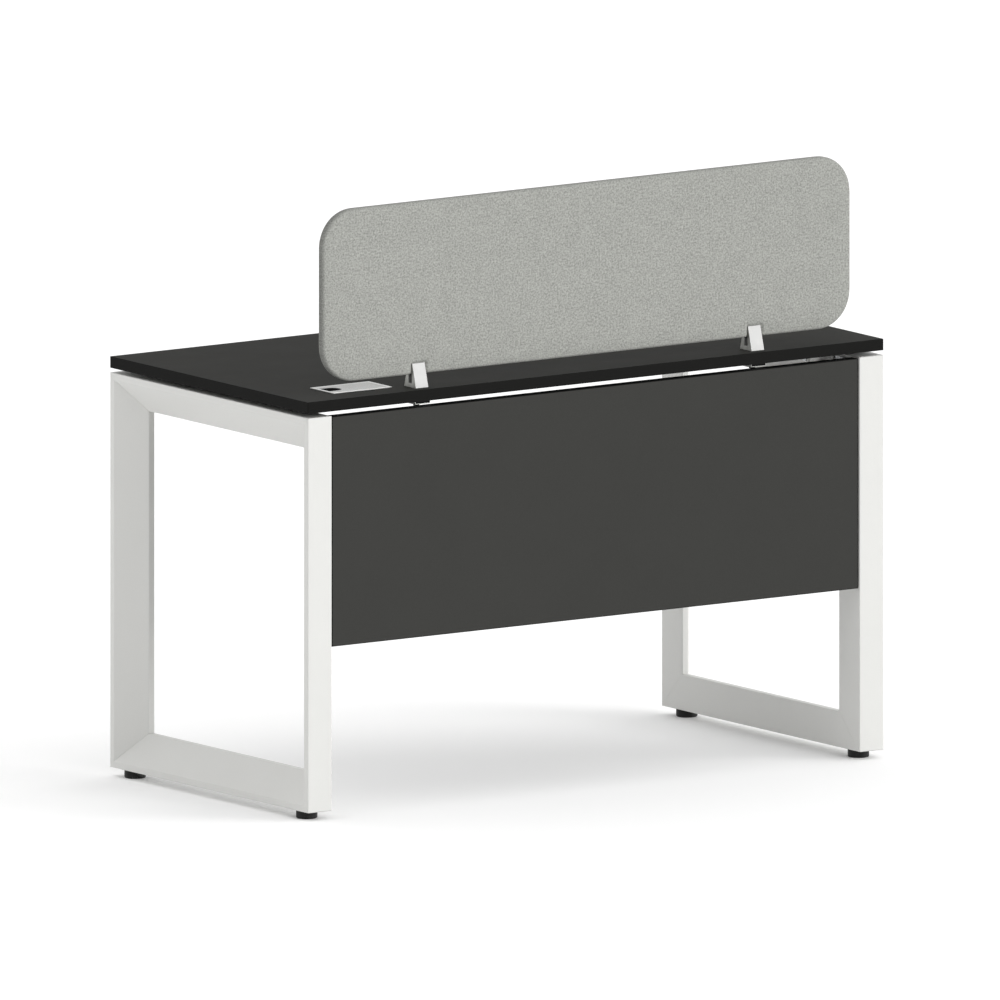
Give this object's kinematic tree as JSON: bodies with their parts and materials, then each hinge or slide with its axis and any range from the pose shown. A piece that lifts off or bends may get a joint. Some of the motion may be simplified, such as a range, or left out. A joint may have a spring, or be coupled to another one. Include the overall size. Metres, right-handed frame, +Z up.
{
  "type": "cubicle workstation",
  "caption": "Compact office desk with closed-loop leg frames, modesty panel, clamped fabric privacy screen and hinged cable flap.",
  "frame": {"origin": "on the floor, under the middle of the desk's plan", "axes": "+X along the desk to the right of a seated user, +Y from the user to the screen and modesty panel, +Z up"},
  "size_m": [1.2, 0.6, 1.053],
  "materials": {
    "laminate_black": "black melamine on chipboard, fine satin texture",
    "edging_black": "black plastic edging strip, satin",
    "laminate_grey": "dark grey melamine on chipboard, satin",
    "frame_white": "white powder coat on steel tube, very fine texture",
    "zinc_steel": "bright zinc plated steel",
    "black_steel": "black oxide on steel, slightly oily",
    "chipboard": "raw particle board, hidden inside the screen",
    "screen_fabric": "light grey melange woven upholstery cloth",
    "clamp_aluminium": "satin silver lacquer on cast aluminium",
    "box_aluminium": "brushed anodised aluminium",
    "black_plastic": "black moulded plastic",
    "liner_rubber": "black rubber strip"
  },
  "bodies": {
    "desk": {"worktop": "laminate_black", "worktop_edging": "edging_black", "modesty_panel_edging": "edging_black", "modesty_panel": "laminate_grey", "left_top_rail": "frame_white", "left_bottom_rail": "frame_white", "left_rear_post": "frame_white", "left_front_post": "frame_white", "right_top_rail": "frame_white", "right_bottom_rail": "frame_white", "right_rear_post": "frame_white", "right_front_post": "frame_white", "rear_beam": "frame_white", "front_beam": "frame_white", "beam_end_plates": "frame_white", "left_worktop_brackets": "frame_white", "right_worktop_brackets": "frame_white", "beam_bolts": "zinc_steel", "worktop_screws": "zinc_steel", "bracket_bolts": "zinc_steel", "frame_nuts": "zinc_steel", "left_panel_brackets": "zinc_steel", "right_panel_brackets": "zinc_steel", "panel_screws": "zinc_steel", "clamp_set_screws": "zinc_steel", "hinge_pin": "zinc_steel", "foot_inserts": "zinc_steel", "clamp_bolts": "black_steel", "screen_board": "chipboard", "screen_cover_fabric": "screen_fabric", "left_clamp": "clamp_aluminium", "right_clamp": "clamp_aluminium", "left_clamp_plate": "clamp_aluminium", "right_clamp_plate": "clamp_aluminium", "cable_box_frame": "box_aluminium", "clamp_liners": "liner_rubber", "clamp_pads": "liner_rubber"},
    "cable_lid": {"cable_box_lid": "box_aluminium", "notch_lining": "black_plastic"},
    "left_front_leveller": {"left_front_foot": "black_plastic", "left_front_stem": "zinc_steel"},
    "left_rear_leveller": {"left_rear_foot": "black_plastic", "left_rear_stem": "zinc_steel"},
    "right_front_leveller": {"right_front_foot": "black_plastic", "right_front_stem": "zinc_steel"},
    "right_rear_leveller": {"right_rear_foot": "black_plastic", "right_rear_stem": "zinc_steel"}
  },
  "joints": [
    {"name": "cable_lid_hinge", "type": "hinge", "parent": "desk", "child": "cable_lid", "pos_m": [0.45, 0.2394, 0.7282], "axis": [-1, 0, 0], "range_deg": [0, 95]},
    {"name": "left_front_leveller_slide", "type": "slide", "parent": "desk", "child": "left_front_leveller", "axis": [0, 0, -1], "range_m": [0, 0.02]},
    {"name": "left_rear_leveller_slide", "type": "slide", "parent": "desk", "child": "left_rear_leveller", "axis": [0, 0, -1], "range_m": [0, 0.02]},
    {"name": "right_front_leveller_slide", "type": "slide", "parent": "desk", "child": "right_front_leveller", "axis": [0, 0, -1], "range_m": [0, 0.02]},
    {"name": "right_rear_leveller_slide", "type": "slide", "parent": "desk", "child": "right_rear_leveller", "axis": [0, 0, -1], "range_m": [0, 0.02]}
  ]
}
